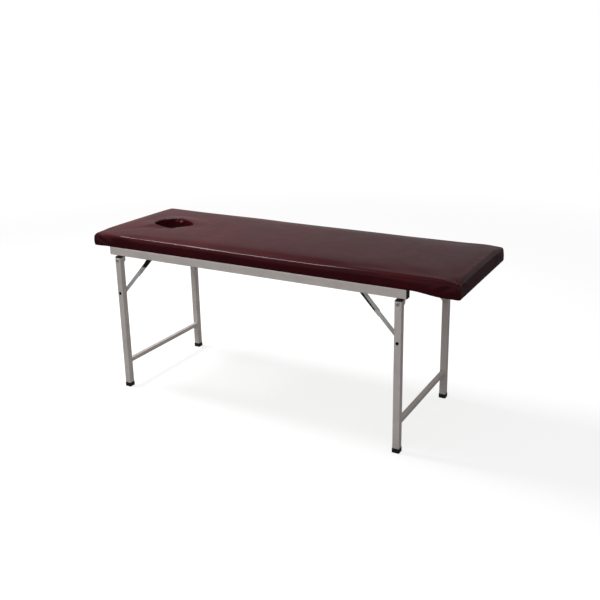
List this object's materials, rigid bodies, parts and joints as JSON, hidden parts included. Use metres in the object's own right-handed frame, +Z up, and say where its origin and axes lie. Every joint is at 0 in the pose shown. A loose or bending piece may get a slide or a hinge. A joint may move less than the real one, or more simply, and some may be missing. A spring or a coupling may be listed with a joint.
{
  "type": "folding massage table",
  "caption": "Upholstered flat table with a face hole near one end, on two square-tube leg pairs that fold in under it on hinged two-link stays.",
  "frame": {"origin": "on the floor under the middle of the top", "axes": "+X from the head end to the foot end, +Y from the near side to the far side, +Z up"},
  "size_m": [1.8, 0.6064, 0.7709],
  "materials": {
    "vinyl": "glossy dark burgundy upholstery vinyl with a fine grain",
    "foam": "open-cell upholstery foam",
    "plywood": "bare plywood",
    "grey_paint": "light grey powder coat",
    "stay_steel": "grey powder coat on pressed steel",
    "zinc": "zinc-plated fasteners",
    "black_bolt": "blackened steel bolts",
    "black_plastic": "moulded black plastic",
    "nylon": "white nylon washers"
  },
  "bodies": {
    "table_top": {"vinyl_cover": "vinyl", "face_hole_lining": "vinyl", "foam_core": "foam", "base_board": "plywood", "near_rail": "grey_paint", "far_rail": "grey_paint", "rail_plugs": "black_plastic", "cross_tube_1": "grey_paint", "cross_tube_2": "grey_paint", "cross_tube_3": "grey_paint", "cross_tube_4": "grey_paint", "cross_tube_5": "grey_paint", "board_tabs": "grey_paint", "board_screws": "zinc", "head_near_hinge_plate": "grey_paint", "head_far_hinge_plate": "grey_paint", "foot_near_hinge_plate": "grey_paint", "foot_far_hinge_plate": "grey_paint", "pivot_bolts": "zinc", "pivot_washers": "nylon", "pivot_nuts": "zinc", "stay_pins": "zinc"},
    "head_legs": {"head_near_leg": "grey_paint", "head_far_leg": "grey_paint", "head_crossbar": "grey_paint", "head_leg_plugs": "black_plastic", "head_foot_caps": "black_plastic", "head_stay_bolts": "black_bolt"},
    "head_near_upper": {"head_near_upper_link": "stay_steel", "head_near_elbow_rivet": "stay_steel"},
    "head_near_lower": {"head_near_lower_link": "stay_steel", "head_near_stay_nut": "zinc"},
    "head_far_upper": {"head_far_upper_link": "stay_steel", "head_far_elbow_rivet": "stay_steel"},
    "head_far_lower": {"head_far_lower_link": "stay_steel", "head_far_stay_nut": "zinc"},
    "foot_legs": {"foot_near_leg": "grey_paint", "foot_far_leg": "grey_paint", "foot_crossbar": "grey_paint", "foot_leg_plugs": "black_plastic", "foot_foot_caps": "black_plastic", "foot_stay_bolts": "black_bolt"},
    "foot_near_upper": {"foot_near_upper_link": "stay_steel", "foot_near_elbow_rivet": "stay_steel"},
    "foot_near_lower": {"foot_near_lower_link": "stay_steel", "foot_near_stay_nut": "zinc"},
    "foot_far_upper": {"foot_far_upper_link": "stay_steel", "foot_far_elbow_rivet": "stay_steel"},
    "foot_far_lower": {"foot_far_lower_link": "stay_steel", "foot_far_stay_nut": "zinc"}
  },
  "joints": [
    {"name": "head_legs_fold", "type": "hinge", "parent": "table_top", "child": "head_legs", "pos_m": [-0.761, 0, 0.645], "axis": [0, -1, 0], "range_deg": [0, 90]},
    {"name": "foot_legs_fold", "type": "hinge", "parent": "table_top", "child": "foot_legs", "pos_m": [0.654, 0, 0.645], "axis": [0, 1, 0], "range_deg": [0, 90]},
    {"name": "head_near_stay_on_rail", "type": "hinge", "parent": "table_top", "child": "head_near_upper", "pos_m": [-0.571, -0.265, 0.688], "axis": [0, -1, 0], "range_deg": [0, 113.5]},
    {"name": "head_near_stay_elbow", "type": "hinge", "parent": "head_near_upper", "child": "head_near_lower", "pos_m": [-0.65932, -0.265, 0.59224], "axis": [0, -1, 0], "range_deg": [-160.8, 0]},
    {"name": "head_far_stay_on_rail", "type": "hinge", "parent": "table_top", "child": "head_far_upper", "pos_m": [-0.571, 0.265, 0.688], "axis": [0, -1, 0], "range_deg": [0, 113.5]},
    {"name": "head_far_stay_elbow", "type": "hinge", "parent": "head_far_upper", "child": "head_far_lower", "pos_m": [-0.65932, 0.265, 0.59224], "axis": [0, -1, 0], "range_deg": [-160.8, 0]},
    {"name": "foot_near_stay_on_rail", "type": "hinge", "parent": "table_top", "child": "foot_near_upper", "pos_m": [0.464, -0.265, 0.688], "axis": [0, 1, 0], "range_deg": [0, 113.5]},
    {"name": "foot_near_stay_elbow", "type": "hinge", "parent": "foot_near_upper", "child": "foot_near_lower", "pos_m": [0.55232, -0.265, 0.59224], "axis": [0, 1, 0], "range_deg": [-160.8, 0]},
    {"name": "foot_far_stay_on_rail", "type": "hinge", "parent": "table_top", "child": "foot_far_upper", "pos_m": [0.464, 0.265, 0.688], "axis": [0, 1, 0], "range_deg": [0, 113.5]},
    {"name": "foot_far_stay_elbow", "type": "hinge", "parent": "foot_far_upper", "child": "foot_far_lower", "pos_m": [0.55232, 0.265, 0.59224], "axis": [0, 1, 0], "range_deg": [-160.8, 0]}
  ],
  "couplings": [
    {"joint": "head_near_stay_on_rail", "follows": "head_legs_fold", "ratio": 1.2601},
    {"joint": "head_near_stay_elbow", "follows": "head_legs_fold", "ratio": -1.7858},
    {"joint": "head_far_stay_on_rail", "follows": "head_legs_fold", "ratio": 1.2601},
    {"joint": "head_far_stay_elbow", "follows": "head_legs_fold", "ratio": -1.7858},
    {"joint": "foot_near_stay_on_rail", "follows": "foot_legs_fold", "ratio": 1.2601},
    {"joint": "foot_near_stay_elbow", "follows": "foot_legs_fold", "ratio": -1.7858},
    {"joint": "foot_far_stay_on_rail", "follows": "foot_legs_fold", "ratio": 1.2601},
    {"joint": "foot_far_stay_elbow", "follows": "foot_legs_fold", "ratio": -1.7858}
  ]
}
